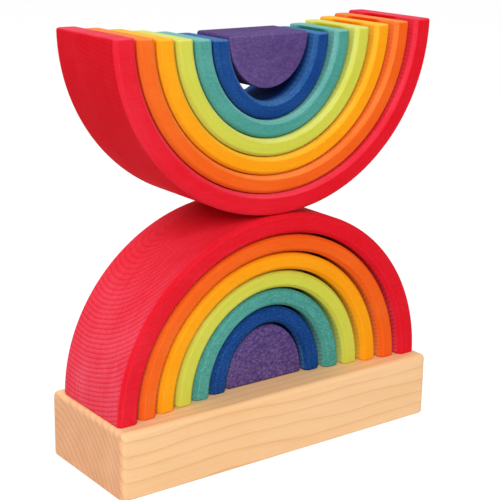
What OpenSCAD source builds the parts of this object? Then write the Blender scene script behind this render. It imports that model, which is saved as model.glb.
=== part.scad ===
// Rainbow stacker: a wooden base block that carries one nest of arches upright,
// with a second, like nest balanced upside down on its crown.
// Millimetres, Z up, X along the base, origin under the middle of the base.

/* [Base block] */
// Base length past the outer arch, at each end
end_margin = 2.7; // [2:0.1:40]
// Base width past the outer arch, front and back
side_margin = 6.9; // [2:0.1:40]
// Base height
base_height = 35.4; // [12:0.1:60]
// Width of the eased edges around the base's top and corners
base_ease = 2.6; // [0.5:0.1:4]
// Width of the eased edges under the base
foot_ease = 1; // [0.3:0.1:3]

/* [Rainbow] */
// Width of the core along its flat face
core_width = 48.2; // [30:0.2:60]
// Height of the core
core_height = 31.1; // [24:0.1:50]
// Depth of the outer arch, front to back
rainbow_depth = 56.2; // [46:0.1:80]
// How much less deep each arch is than the one around it
depth_step = 3.85; // [0:0.05:6]

/* [Arches] */
// Thickness of an arch at its feet
leg_thickness = 9.7; // [7:0.05:14]
// Thickness of an arch at its crown
crown_thickness = 8.75; // [7:0.05:14]
// How much thicker the outer arch is than the others
outer_extra = 1.8; // [0:0.1:4]
// Saw gap between two arches at the feet
leg_gap = 2.2; // [0.8:0.05:3]
// Saw gap between two arches at the crown
crown_gap = 1.35; // [0.6:0.05:2.5]
// Saw gap between the core and the arch around it, at the crown
core_gap = 1.5; // [0.8:0.05:5]
// Width of the eased edges along arches and cores
edge_ease = 1.8; // [0.4:0.1:2.4]
// Width of the eased edges around the feet of arches and the flats of cores
sole_ease = 1; // [0.3:0.1:2]

/* [Stacking] */
// Clearance where one curved face rests on another
touch_gap = 0.3; // [0.1:0.05:0.5]
// How far the upper core stands out of the arch that it is wedged in
core_rise = 1.6; // [0:0.1:6]
// How much wider the upper core is than the lower one
core_wider = 0.8; // [0:0.1:2]
// How much lower the upper core is than the lower one
core_lower = 3.8; // [0:0.1:6]
// How much less deep the upper core is than the lower one, at the back
core_shorter = 3.8; // [0:0.1:6]

/* [Hidden] */
$fn = 96;

// Cutters reach this far past the face that they cut
over = 2;
// Arches are counted from the outside in, and the core comes after the last one
arch_count = 6;

function extra(i) = i == 0 ? outer_extra : 0;
function half_span(i) = core_width / 2 + (arch_count - i) * (leg_thickness + leg_gap) + extra(i);
function height(i) = i == arch_count ? core_height
    : core_height + core_gap - crown_gap + (arch_count - i) * (crown_thickness + crown_gap) + extra(i);
function depth(i) = rainbow_depth - i * depth_step;

base_length = 2 * (half_span(0) + end_margin);
base_width = depth(0) + 2 * side_margin;
// Level of the upper rainbow's ends, with its crown on the lower crown
upper_level = base_height + 2 * height(0) + touch_gap;
// Each upper arch has sunk this far into the one around it
nest_drop = crown_gap - touch_gap;
// The wedged upper core lies this far over, against the arch around it
core_shift = leg_gap - touch_gap - core_wider / 2;

// Radial section of a solid out to radius r, with eased rims
module rim(r, d) {
    h = d / 2;
    polygon([
        [0, -h], [r - edge_ease, -h], [r, -h + edge_ease],
        [r, h - edge_ease], [r - edge_ease, h], [0, h]
    ]);
}

// Radial section of a cutter out to radius r, flared to ease the rims that it leaves
module cutter_rim(r, d) {
    h = d / 2;
    reach = edge_ease + over;
    polygon([
        [0, -h - over], [r + reach, -h - over], [r, -h + edge_ease],
        [r, h - edge_ease], [r + reach, h + over], [0, h + over]
    ]);
}

// Oval about the Y axis with half width a, half height b and depth d
module oval(a, b, d, cutter = false) {
    scale([1, 1, b / a])
        rotate([90, 0, 0])
            rotate([0, 0, -90])
                rotate_extrude()
                    if (cutter)
                        cutter_rim(a, d);
                    else
                        rim(a, d);
}

// Everything under Z = 0 for a piece with half width a, height b and depth d
module below(a, b, d) {
    translate([-a - over, -d / 2 - over, -b - over])
        cube([2 * (a + over), d + 2 * over, b + over]);
}

// Prism that eases one long edge, whose two faces lie along X and Y
module edge_cut(ease, len) {
    linear_extrude(len + 2 * over, center = true)
        polygon([[-over, -over], [ease + over, -over], [-over, ease + over]]);
}

// Eases the front and back edges of a foot that stands on Z = 0
module foot_cuts_y(a, d) {
    for (side = [0, 1])
        mirror([0, side, 0])
            translate([0, -d / 2, 0])
                rotate([90, 0, 90])
                    edge_cut(sole_ease, 2 * a);
}

// Eases the edges of both feet at half width a: outer edges, or inner ones
module foot_cuts_x(a, d, inner) {
    for (side = [0, 1])
        mirror([side, 0, 0])
            translate([a, 0, 0])
                mirror([inner ? 0 : 1, 0, 0])
                    rotate([90, 0, 0])
                        edge_cut(sole_ease, d);
}

// Arch number i, feet on Z = 0
module arch(i) {
    a = half_span(i);
    b = height(i);
    d = depth(i);
    leg = leg_thickness + extra(i);
    crown = crown_thickness + extra(i);
    difference() {
        oval(a, b, d);
        oval(a - leg, b - crown, d, cutter = true);
        below(a, b, d);
        foot_cuts_y(a, d);
        foot_cuts_x(a, d, inner = false);
        foot_cuts_x(a - leg, d, inner = true);
    }
}

// Solid half round in the middle of a nest, flat on Z = 0, with half width a,
// height b and depth d
module half_round(a, b, d) {
    difference() {
        oval(a, b, d);
        below(a, b, d);
        foot_cuts_y(a, d);
        foot_cuts_x(a, d, inner = false);
    }
}

module on_base() {
    translate([0, 0, base_height])
        children();
}

// Turns a piece over into the upper nest, at the level of arch number i
module in_upper(i) {
    translate([0, 0, upper_level - i * nest_drop])
        rotate([180, 0, 0])
            children();
}

module base() {
    l = base_length / 2;
    w = base_width / 2;
    e = base_ease;
    color("burlywood")
        difference() {
            linear_extrude(base_height)
                polygon([
                    [-l + e, -w], [l - e, -w], [l, -w + e], [l, w - e],
                    [l - e, w], [-l + e, w], [-l, w - e], [-l, -w + e]
                ]);
            for (top = [0, 1], side = [0, 1])
                translate([0, 0, top * base_height])
                    mirror([0, 0, top]) {
                        cut = top == 1 ? e : foot_ease;
                        mirror([0, side, 0])
                            translate([0, -w, 0])
                                rotate([90, 0, 90])
                                    edge_cut(cut, base_length);
                        mirror([side, 0, 0])
                            translate([-l, 0, 0])
                                rotate([90, 0, 0])
                                    edge_cut(cut, base_width);
                    }
        }
}

module lower_red_arch() { color("crimson") on_base() arch(0); }
module lower_orange_arch() { color("darkorange") on_base() arch(1); }
module lower_yellow_arch() { color("gold") on_base() arch(2); }
module lower_green_arch() { color("yellowgreen") on_base() arch(3); }
module lower_teal_arch() { color("mediumaquamarine") on_base() arch(4); }
module lower_blue_arch() { color("royalblue") on_base() arch(5); }
module lower_purple_core() {
    color("rebeccapurple")
        on_base()
            half_round(half_span(arch_count), height(arch_count), depth(arch_count));
}

module upper_red_arch() { color("crimson") in_upper(0) arch(0); }
module upper_orange_arch() { color("darkorange") in_upper(1) arch(1); }
module upper_yellow_arch() { color("gold") in_upper(2) arch(2); }
module upper_green_arch() { color("yellowgreen") in_upper(3) arch(3); }
module upper_teal_arch() { color("mediumaquamarine") in_upper(4) arch(4); }
module upper_blue_arch() { color("royalblue") in_upper(5) arch(5); }
module upper_purple_core() {
    color("rebeccapurple")
        in_upper(arch_count - 1)
            translate([-core_shift, core_shorter / 2, -core_rise])
                half_round(
                    half_span(arch_count) + core_wider / 2,
                    height(arch_count) - core_lower,
                    depth(arch_count) - core_shorter
                );
}

base();
lower_red_arch();
lower_orange_arch();
lower_yellow_arch();
lower_green_arch();
lower_teal_arch();
lower_blue_arch();
lower_purple_core();
upper_red_arch();
upper_orange_arch();
upper_yellow_arch();
upper_green_arch();
upper_teal_arch();
upper_blue_arch();
upper_purple_core();
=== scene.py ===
"""Looks of the rainbow stacker: stained wooden arches and cores on a pine base."""

import math

import bmesh
import bpy
from mathutils import Matrix, Vector


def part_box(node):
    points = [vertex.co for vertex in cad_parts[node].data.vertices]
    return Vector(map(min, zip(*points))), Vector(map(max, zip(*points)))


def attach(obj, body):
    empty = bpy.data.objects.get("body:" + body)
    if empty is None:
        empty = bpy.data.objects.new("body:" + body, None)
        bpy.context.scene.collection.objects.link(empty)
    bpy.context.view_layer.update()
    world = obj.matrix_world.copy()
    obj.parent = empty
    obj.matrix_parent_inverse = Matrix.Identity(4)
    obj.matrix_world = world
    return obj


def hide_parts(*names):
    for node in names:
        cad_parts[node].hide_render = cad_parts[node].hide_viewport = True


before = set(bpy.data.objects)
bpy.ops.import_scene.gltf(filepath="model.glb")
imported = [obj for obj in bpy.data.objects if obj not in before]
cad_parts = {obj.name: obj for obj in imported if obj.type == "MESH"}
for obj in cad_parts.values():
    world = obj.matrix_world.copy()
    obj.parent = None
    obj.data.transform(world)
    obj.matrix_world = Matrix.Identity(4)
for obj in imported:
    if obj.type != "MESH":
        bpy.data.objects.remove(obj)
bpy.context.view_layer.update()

MM = 0.001

# Thickness of the arches, as in the part's source
LEG = 9.7 * MM
CROWN = 8.75 * MM
OUTER_EXTRA = 1.8 * MM

# Eased edges along the arches: reach along each face, and how far the arrises are rubbed round
ARCH_EDGE = 1.9 * MM
ARCH_ARRIS = 0.45 * MM
ARRIS_FACETS = 3

# Rounded edges: radius and number of facets
FOOT_EDGE = 1.1 * MM
CORE_EDGE = 1.5 * MM
BASE_EDGE = 2.8 * MM
BASE_FOOT_EDGE = 1.0 * MM
FOOT_FACETS = 4
EDGE_FACETS = 5

# Length of one facet round the inside of an arch or round a core
SWEEP_FACET = 2.2 * MM

# Points this close are one point, faces this close to a level lie on it, and edges whose
# faces turn by more than this many radians are sharp
SAME_POINT = 0.001 * MM
SAME_LEVEL = 0.01 * MM
SHARP_TURN = 1

# Growth rings: width of one ring, how far its line wanders, how far it drifts out for each
# metre along the grain, and the strength of its line at shares of the ring
STAINED_RING, STAINED_SWAY, STAINED_DRIFT = 2.3 * MM, 3 * MM, 0.012
STAINED_LINE = ((0.0, 0.7), (0.14, 0.0), (0.55, 0.1), (0.8, 0.45), (0.93, 1.0))
PINE_RING, PINE_SWAY, PINE_DRIFT = 4.0 * MM, 7 * MM, 0.006
PINE_LINE = ((0.0, 0.6), (0.06, 0.0), (0.6, 0.0), (0.86, 0.35), (0.95, 1.0))

# Sizes of the wood's patterns, in cells per metre: along the grain, across it and up
RING_WANDER = (9, 28, 28)
STAINED_FIBRE = (110, 1300, 1300)
STAINED_BLOTCH = (26, 60, 60)
STAINED_FLECK = (700, 1300, 1300)
PINE_FIBRE = (60, 1300, 1300)
PINE_BLOTCH = (12, 70, 70)
PINE_PORES = (700, 1900, 1900)

# Sanding marks, in cells per metre round an arch, across it and out from its middle, and the
# distance round an arch that stands for one radian
SANDING_MARKS = (25, 700, 1100)
ARCH_TURN = 60 * MM

# Painted shade deep inside an arch, made as a thicker stain: how strong it is, and how far
# from the middle of its depth that starts and is complete
PAINTED_INSIDE_SHADE = 0.8
INSIDE_FROM, INSIDE_FULL = 14 * MM, 8 * MM

# X at which the painted light to the left, a paler colour, starts and is complete
LEFT_FROM, LEFT_FULL = 0.0, -0.1

# Dark and light of natural pine, on its body and on its ends
PINE_BODY = (234, 178, 120), (252, 214, 166)
PINE_ENDS = (212, 142, 98), (250, 198, 150)

# Gloss, and the depth of the grain that is felt
STAINED_GLOSS, STAINED_RELIEF = 0.03, 0.12 * MM
PINE_GLOSS, PINE_RELIEF = 0.25, 0.15 * MM


# Shader sums

class Shade:
    """A socket of a material's nodes. Arithmetic on it adds Math nodes."""

    def __init__(self, tree, socket=None):
        self.tree = tree
        self.socket = socket

    def add(self, kind, sockets, out=0, stops=(), **settings):
        """Adds one node: its settings first, then values or links of its sockets."""
        node = self.tree.nodes.new("ShaderNode" + kind)
        for name, value in settings.items():
            setattr(node, name, value)
        for stop, (at, level) in enumerate(stops):
            ramp = node.color_ramp.elements
            mark = ramp[stop] if stop < len(ramp) else ramp.new(at)
            mark.position = at
            mark.color = (level, level, level, 1)
        for key, value in sockets.items():
            if isinstance(value, Shade):
                self.tree.links.new(value.socket, node.inputs[key])
            else:
                node.inputs[key].default_value = value
        return Shade(self.tree, node.outputs[out] if node.outputs else None)

    def out(self, key):
        """Another output of the same node."""
        return Shade(self.tree, self.socket.node.outputs[key])

    def math(self, operation, *values):
        return self.add("Math", dict(enumerate(values)), operation=operation)

    def __add__(self, other):
        return self.math("ADD", self, other)

    def __radd__(self, other):
        return self.math("ADD", other, self)

    def __sub__(self, other):
        return self.math("SUBTRACT", self, other)

    def __rsub__(self, other):
        return self.math("SUBTRACT", other, self)

    def __mul__(self, other):
        return self.math("MULTIPLY", self, other)

    def __rmul__(self, other):
        return self.math("MULTIPLY", other, self)

    def __truediv__(self, other):
        return self.math("DIVIDE", self, other)

    def __rtruediv__(self, other):
        return self.math("DIVIDE", other, self)

    def __pow__(self, other):
        return self.math("POWER", self, other)

    def __rpow__(self, other):
        return self.math("POWER", other, self)


def noise(place, scale, detail=2.0, rough=0.5):
    """Noise around 0, with its own scale per axis in cells per metre."""
    stretched = place.add("VectorMath", {0: place, 1: scale}, operation="MULTIPLY")
    return place.add("TexNoise", {
        "Vector": stretched, "Scale": 1.0, "Detail": detail, "Roughness": rough,
    }) - 0.5


def blend_colours(share, first, second):
    return share.add(
        "Mix", {0: share, 6: first, 7: second}, out=2, data_type="RGBA")


def colour(red, green, blue):
    """Linear colour from the usual 0 to 255 screen values."""
    def linear(level):
        level /= 255
        if level <= 0.04045:
            return level / 12.92
        return ((level + 0.055) / 1.055) ** 2.4
    return (linear(red), linear(green), linear(blue), 1)


# Finishes

def new_finish(name):
    """An empty material with its shader, and a Shade to build on."""
    finish = bpy.data.materials.new(name)
    finish.use_nodes = True
    shader = finish.node_tree.nodes["Principled BSDF"]
    return finish, shader, Shade(finish.node_tree)


def growth_rings(place, pith, spacing, sway, drift):
    """How far each point lies out from the pith, in growth rings.

    The grain runs along X. The pith is a (y, z) point of the log's axis.
    """
    split = place.add("SeparateXYZ", {0: place})
    along, across, up = split, split.out(1), split.out(2)
    across = across - pith[0]
    up = up - pith[1]
    radius = (across * across + up * up) ** 0.5
    wander = noise(place, RING_WANDER) * sway
    return (radius + wander + along * drift) / spacing


def ring_lines(rings, stops):
    """Strength of the line through each growth ring, strongest at its dense edge."""
    share = rings.math("FRACT", rings)
    return share.add("ValToRGB", {0: share}, stops=stops)


def around_arch(place, facing, feet_level, squash):
    """Coordinates that follow an arch, and how far a face looks in towards its middle.

    The coordinates run round the arch, across it, and out from its middle.
    """
    split = place.add("SeparateXYZ", {0: place})
    rise = split.out(2) - feet_level
    out = (split * split + rise * rise) ** 0.5
    inward = (facing * split + facing.out(2) * rise) / (0 - out)
    rise = rise * squash
    reach = (split * split + rise * rise) ** 0.5
    turn = split.math("ARCTAN2", rise.math("ABSOLUTE", rise), split)
    follow = place.add(
        "CombineXYZ", {0: turn * ARCH_TURN, 1: split.out(1), 2: reach})
    return follow, inward.math("MAXIMUM", inward, 0.0)


def stained_wood(name, tint, block, feet_level, squash, speckle, painted_top_light):
    """Fine-grained wood, its grain along X, with a clear stain; its colour is paler where
    light is painted in and darker deep inside where shade is painted in.
    """
    finish, shader, start = new_finish(name)
    place = start.add("TexCoord", {}, out="Object")
    facing = place.add("SeparateXYZ", {0: place.out("Normal")})
    front = facing.out(1) * facing.out(1)
    upward = facing.math("MAXIMUM", facing.out(2), 0.0) ** 2
    edge = 4 * front * (1 - front)
    end_grain = facing.math("ABSOLUTE", facing) * (1 - edge)
    follow, inward = around_arch(place, facing, feet_level, squash)
    along = place.add("SeparateXYZ", {0: place})
    left = along.add(
        "MapRange", {0: along, 1: LEFT_FROM, 2: LEFT_FULL, 3: 0.0, 4: 1.0})
    across = along.math("ABSOLUTE", along.out(1))
    deep = across.add(
        "MapRange", {0: across, 1: INSIDE_FROM, 2: INSIDE_FULL, 3: 0.0, 4: 1.0})

    rings = growth_rings(
        place, block["pith"], STAINED_RING, STAINED_SWAY, STAINED_DRIFT)
    line = ring_lines(rings, STAINED_LINE)
    fibre = noise(place, STAINED_FIBRE, 3.0, 0.6)
    blotch = noise(place, STAINED_BLOTCH, 3.0, 0.55)
    fleck = noise(place, STAINED_FLECK, 2.0, 0.65)
    sanding = noise(follow, SANDING_MARKS, 2.0)

    end_line = line * end_grain
    # painted sheen: end faces made paler, for the sheen on the lower arches' flanks and light
    # in their gaps
    painted_light = end_grain.math(
        # painted light: upward faces made paler, as light falling on the tops
        "MAXIMUM", block["painted_end_sheen"] * end_grain, painted_top_light * upward)
    # painted light: insides made paler, as if lit in the gaps between arches
    painted_light = painted_light.math("MAXIMUM", painted_light, block["painted_inside_light"] * inward * inward)
    stain_and_painted_light = (
        1.0
        + 0.15 * fibre
        + 0.25 * blotch
        + 0.2 * sanding
        + speckle * block["speckle"] * fleck
        + block["end_lines"] * end_line
        - painted_light
        # painted shade: colour darkened deep inside the arches
        + PAINTED_INSIDE_SHADE * inward * deep
        # rubbed edges, paler partly as real wear and partly as a painted highlight
        - block["rubbed_and_lit_edges"] * edge
        # painted light: fronts made paler towards the left, where more light falls
        - block["painted_left_light"] * left * front
    )
    red, green, blue, _ = colour(*tint)
    tree = finish.node_tree
    tree.links.new(
        start.add("CombineXYZ", {
            0: red ** stain_and_painted_light, 1: green ** stain_and_painted_light, 2: blue ** stain_and_painted_light}).socket,
        shader.inputs["Base Color"])
    tree.links.new(
        (0.74 + 0.3 * fibre + 0.2 * blotch).socket, shader.inputs["Roughness"])
    height = 0.5 * fibre + 0.4 * sanding + 0.5 * fleck + 0.3 * end_line
    bump = place.add("Bump", {
        "Height": height, "Strength": 0.3, "Distance": STAINED_RELIEF})
    tree.links.new(bump.socket, shader.inputs["Normal"])
    shader.inputs["Specular IOR Level"].default_value = STAINED_GLOSS
    return finish


def pine(name, pith):
    """Natural pine, its grain along X, with wide growth rings."""
    finish, shader, start = new_finish(name)
    place = start.add("TexCoord", {}, out="Object")
    facing = place.add("SeparateXYZ", {0: place.out("Normal")})
    end_grain = facing * facing

    rings = growth_rings(place, pith, PINE_RING, PINE_SWAY, PINE_DRIFT)
    line = ring_lines(rings, PINE_LINE)
    fibre = noise(place, PINE_FIBRE, 3.0, 0.6)
    blotch = noise(place, PINE_BLOTCH, 3.0)
    pores = noise(place, PINE_PORES, 2.0, 0.6)

    tone = 0.55 + 0.45 * fibre + 0.6 * blotch + 0.2 * pores - 0.42 * line
    tree = finish.node_tree
    body = blend_colours(tone, *(colour(*tint) for tint in PINE_BODY))
    ends = blend_colours(tone, *(colour(*tint) for tint in PINE_ENDS))
    tree.links.new(
        blend_colours(end_grain, body, ends).socket, shader.inputs["Base Color"])
    tree.links.new(
        (0.62 + 0.2 * fibre - 0.08 * line).socket, shader.inputs["Roughness"])
    height = 0.6 * fibre + 0.4 * pores + 0.25 * line
    bump = place.add("Bump", {
        "Height": height, "Strength": 0.35, "Distance": PINE_RELIEF})
    tree.links.new(bump.socket, shader.inputs["Normal"])
    shader.inputs["Specular IOR Level"].default_value = PINE_GLOSS
    return finish


# Shapes

def arch_shape(half_span, height, depth, leg, crown):
    """Arch with its feet on Z = 0, swept round from the section of one leg."""
    inner_span = half_span - leg
    inner_height = height - crown
    half = depth / 2
    shape = bmesh.new()
    corners = [shape.verts.new((x, y, 0)) for x, y in (
        (inner_span, -half), (half_span, -half),
        (half_span, half), (inner_span, half))]
    shape.faces.new(corners)
    bmesh.ops.bevel(
        shape, geom=corners, offset=ARCH_EDGE, segments=1,
        profile=0.5, affect="VERTICES", material=-1)
    bmesh.ops.bevel(
        shape, geom=shape.verts[:], offset=ARCH_ARRIS, segments=ARRIS_FACETS,
        profile=0.5, affect="VERTICES", material=-1)
    bmesh.ops.spin(
        shape, geom=shape.verts[:] + shape.edges[:] + shape.faces[:],
        cent=(0, 0, 0), axis=(0, -1, 0), angle=math.pi,
        steps=round(math.pi * inner_span / SWEEP_FACET))
    for point in shape.verts:
        share = (math.hypot(point.co.x, point.co.z) - inner_span) / leg
        point.co.z *= (
            (1 - share) * inner_height / inner_span + share * height / half_span)
    round_feet(shape)
    return shape


def round_feet(shape):
    """Rounds the edges around both feet of an arch."""
    bmesh.ops.remove_doubles(shape, verts=shape.verts[:], dist=SAME_POINT)
    bmesh.ops.recalc_face_normals(shape, faces=shape.faces[:])
    feet = [
        face for face in shape.faces
        if all(abs(point.co.z) < SAME_LEVEL for point in face.verts)]
    bmesh.ops.bevel(
        shape, geom=[edge for face in feet for edge in face.edges],
        offset=FOOT_EDGE, segments=FOOT_FACETS,
        profile=0.5, affect="EDGES", material=-1)


def core_shape(half_span, height, depth):
    """Solid half round with its flat face on Z = 0."""
    shape = bmesh.new()
    turn = Matrix.Rotation(math.pi / 2, 4, "X")
    bmesh.ops.create_circle(
        shape, cap_ends=True, radius=half_span, matrix=turn,
        segments=4 * round(math.pi * half_span / 2 / SWEEP_FACET))
    bmesh.ops.bisect_plane(
        shape, geom=shape.verts[:] + shape.edges[:] + shape.faces[:],
        dist=SAME_POINT, plane_co=(0, 0, 0), plane_no=(0, 0, 1), clear_inner=True)
    bmesh.ops.scale(shape, vec=(1, 1, height / half_span), verts=shape.verts[:])
    bmesh.ops.translate(shape, vec=(0, -depth / 2, 0), verts=shape.verts[:])
    grown = bmesh.ops.extrude_face_region(shape, geom=shape.faces[:])["geom"]
    bmesh.ops.translate(
        shape, vec=(0, depth, 0),
        verts=[part for part in grown if isinstance(part, bmesh.types.BMVert)])
    bmesh.ops.recalc_face_normals(shape, faces=shape.faces[:])
    sharp = [edge for edge in shape.edges if edge.calc_face_angle() > SHARP_TURN]
    bmesh.ops.bevel(
        shape, geom=sharp, offset=CORE_EDGE, segments=EDGE_FACETS,
        profile=0.5, affect="EDGES", material=-1)
    return shape


def base_shape(low, high):
    """Block with softly rounded top and corners, and a crisper lower edge."""
    shape = bmesh.new()
    bmesh.ops.create_cube(
        shape, size=1,
        matrix=Matrix.LocRotScale((low + high) / 2, None, high - low))

    def under(edge):
        return all(point.co.z < low.z + SAME_LEVEL for point in edge.verts)

    bmesh.ops.bevel(
        shape, geom=[edge for edge in shape.edges if not under(edge)],
        offset=BASE_EDGE, segments=EDGE_FACETS + 1,
        profile=0.5, affect="EDGES", material=-1)
    bmesh.ops.bevel(
        shape, geom=[edge for edge in shape.edges if under(edge)],
        offset=BASE_FOOT_EDGE, segments=FOOT_FACETS,
        profile=0.5, affect="EDGES", material=-1)
    return shape


def make_piece(node, shape, place, finish):
    """Turns a shape into the piece that stands for a CAD node."""
    bmesh.ops.transform(shape, matrix=place, verts=shape.verts[:])
    bmesh.ops.recalc_face_normals(shape, faces=shape.faces[:])
    mesh = bpy.data.meshes.new(node + "_wood")
    shape.to_mesh(mesh)
    shape.free()
    for face in mesh.polygons:
        face.use_smooth = True
    mesh.materials.append(finish)
    piece = bpy.data.objects.new(node + "_wood", mesh)
    bpy.context.scene.collection.objects.link(piece)
    flat = piece.modifiers.new("flat_faces", "WEIGHTED_NORMAL")
    flat.mode = "FACE_AREA"
    flat.weight = 50
    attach(piece, node)
    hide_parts(node)


# The stacker

# Colour of each stain on a front face, and how speckled its wood is
STAINS = {
    "red": ((220, 25, 40), 0.25),
    "orange": ((235, 94, 27), 0.2),
    "yellow": ((244, 155, 21), 0.2),
    "green": ((201, 202, 73), 0.25),
    "teal": ((74, 149, 139), 0.8),
    "blue": ((24, 65, 128), 0.9),
    "purple": ((88, 68, 121), 1.3),
}

# Each nest's block of wood: the log's axis (y, z), how speckled it is, how much the stain
# gathers in the growth rings of its ends, and how much paler the colour is painted: on ends as
# a painted sheen, on the arches' tops and insides as painted light, on rubbed edges as real
# wear with a painted highlight, and to the left as painted light
BLOCKS = {
    "lower": {
        "pith": (0.0135, 0.126), "speckle": 1.0, "end_lines": 0.22,
        "painted_end_sheen": 0.44, "painted_top_light": 0.0, "painted_inside_light": 0.0,
        "rubbed_and_lit_edges": 0.0, "painted_left_light": 0.1},
    "upper": {
        "pith": (-0.030, 0.340), "speckle": 0.45, "end_lines": 0.12,
        "painted_end_sheen": 0.0, "painted_top_light": 0.4, "painted_inside_light": 0.3,
        "rubbed_and_lit_edges": 0.1, "painted_left_light": 0.13},
}
PINE_PITH = (0.050, -0.036)

low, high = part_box("base")
make_piece(
    "base", base_shape(low, high), Matrix.Identity(4),
    pine("pine", PINE_PITH))

turn_over = Matrix.Rotation(math.pi, 4, "X")
for nest, block in BLOCKS.items():
    for tint, (stain, speckle) in STAINS.items():
        core = tint == "purple"
        node = f"{nest}_{tint}_core" if core else f"{nest}_{tint}_arch"
        low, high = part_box(node)
        half_span = (high.x - low.x) / 2
        height = high.z - low.z
        depth = high.y - low.y
        if core:
            shape = core_shape(half_span, height, depth)
        else:
            extra = OUTER_EXTRA if tint == "red" else 0
            shape = arch_shape(half_span, height, depth, LEG + extra, CROWN + extra)
        feet_level = low.z if nest == "lower" else high.z
        place = Matrix.Translation((
            (low.x + high.x) / 2, (low.y + high.y) / 2, feet_level))
        if nest == "upper":
            place = place @ turn_over
        finish = stained_wood(
            f"{tint}_stain_{nest}", stain, block, feet_level,
            half_span / height, speckle, 0 if core else block["painted_top_light"])
        make_piece(node, shape, place, finish)


# Studio

# Level of the surroundings in front of and behind the stacker, and the Y parts of the
# directions between which it changes
SKY_FRONT, SKY_BACK = 0.42, 0.65
SKY_FROM, SKY_FULL = -0.4, 0.6

# Floor: half its size in metres, its tone for light that bounces and for the viewer, and the
# share and level of the plain white that the viewer sees in it, which thins the shadow
FLOOR_HALF = 8
FLOOR_BOUNCE, FLOOR_SEEN = 0.75, 0.95
FLOOR_WHITE, FLOOR_GLOW = 0.8, 1.1

# Lamps: place, width, and the level that each gives a white face turned to it
KEY_PLACE, KEY_WIDTH, KEY_LEVEL = (-1.03, -1.65, 1.53), 1.4, 0.73
TOP_PLACE, TOP_WIDTH, TOP_LEVEL = (-0.25, 0.50, 1.20), 0.9, 0.2

# Camera: degrees round, up and rolled, distance, the point that it looks at, and lens
AZIMUTH, ELEVATION, ROLL = 36.65, 16.01, 0.98
DISTANCE = 689.9 * MM
LOOK_AT = (0.6 * MM, 0, 103.8 * MM)
LENS, SENSOR = 93.98, 36

# Point that the lamps are aimed at
MIDDLE = Vector((0, 0, 0.12))


def seen_rays(start):
    """1 on rays that show a thing to the viewer: straight, mirrored or through glass."""
    path = start.add("LightPath", {})
    seen = path.math("MAXIMUM", path, path.out("Is Glossy Ray"))
    return path.math("MAXIMUM", seen, path.out("Is Transmission Ray"))


def floor():
    """Plain white floor that takes the stacker's shadow."""
    shape = bmesh.new()
    bmesh.ops.create_grid(shape, x_segments=1, y_segments=1, size=FLOOR_HALF)
    mesh = bpy.data.meshes.new("studio_floor")
    shape.to_mesh(mesh)
    shape.free()
    paper = bpy.data.materials.new("white_paper")
    paper.use_nodes = True
    tree = paper.node_tree
    tree.nodes.clear()
    start = Shade(tree)
    seen = seen_rays(start)
    tone = FLOOR_BOUNCE + (FLOOR_SEEN - FLOOR_BOUNCE) * seen
    shaded = start.add("BsdfDiffuse", {
        "Color": start.add("CombineXYZ", {0: tone, 1: tone, 2: tone})})
    white = start.add("Emission", {"Strength": FLOOR_GLOW})
    start.add("OutputMaterial", {"Surface": start.add(
        "MixShader", {0: seen * FLOOR_WHITE, 1: shaded, 2: white})})
    mesh.materials.append(paper)
    sheet = bpy.data.objects.new("studio_floor", mesh)
    bpy.context.scene.collection.objects.link(sheet)


def lamp(name, place, width, level):
    """Square soft lamp aimed at the stacker's middle."""
    way = Vector(place) - MIDDLE
    light = bpy.data.lights.new(name, "AREA")
    light.size = width
    light.energy = level * (math.pi * way.length) ** 2
    holder = bpy.data.objects.new(name, light)
    holder.matrix_world = Matrix.LocRotScale(
        Vector(place), way.to_track_quat("Z", "Y"), None)
    bpy.context.scene.collection.objects.link(holder)


def studio_light():
    """Surroundings that are brighter behind the stacker, a key lamp and a top lamp."""
    world = bpy.data.worlds.new("studio")
    world.use_nodes = True
    tree = world.node_tree
    back = tree.nodes["Background"]
    start = Shade(tree)
    seen = seen_rays(start)
    way = start.add("SeparateXYZ", {0: start.add("TexCoord", {})})
    level = start.add("MapRange", {
        0: way.out(1), 1: SKY_FROM, 2: SKY_FULL, 3: SKY_FRONT, 4: SKY_BACK})
    strength = seen + (1 - seen) * level
    tree.links.new(strength.socket, back.inputs["Strength"])
    back.inputs["Color"].default_value = (1, 1, 1, 1)
    bpy.context.scene.world = world
    lamp("key_lamp", KEY_PLACE, KEY_WIDTH, KEY_LEVEL)
    lamp("top_lamp", TOP_PLACE, TOP_WIDTH, TOP_LEVEL)


def camera():
    """Camera at the photograph's viewing angle."""
    azimuth, elevation, roll = (
        math.radians(angle) for angle in (AZIMUTH, ELEVATION, ROLL))
    back = Vector((
        -math.sin(azimuth) * math.cos(elevation),
        -math.cos(azimuth) * math.cos(elevation),
        math.sin(elevation)))
    right = Vector((math.cos(azimuth), -math.sin(azimuth), 0))
    up = back.cross(right)
    turned_right = right * math.cos(roll) + up * math.sin(roll)
    turned_up = up * math.cos(roll) - right * math.sin(roll)
    lens = bpy.data.cameras.new("camera")
    lens.lens = LENS
    lens.sensor_width = SENSOR
    eye = bpy.data.objects.new("camera", lens)
    eye.matrix_world = Matrix.Translation(Vector(LOOK_AT) + back * DISTANCE) @ Matrix(
        (turned_right, turned_up, back)).transposed().to_4x4()
    bpy.context.scene.collection.objects.link(eye)
    bpy.context.scene.camera = eye


floor()
studio_light()
camera()
bpy.context.scene.view_settings.view_transform = "Standard"
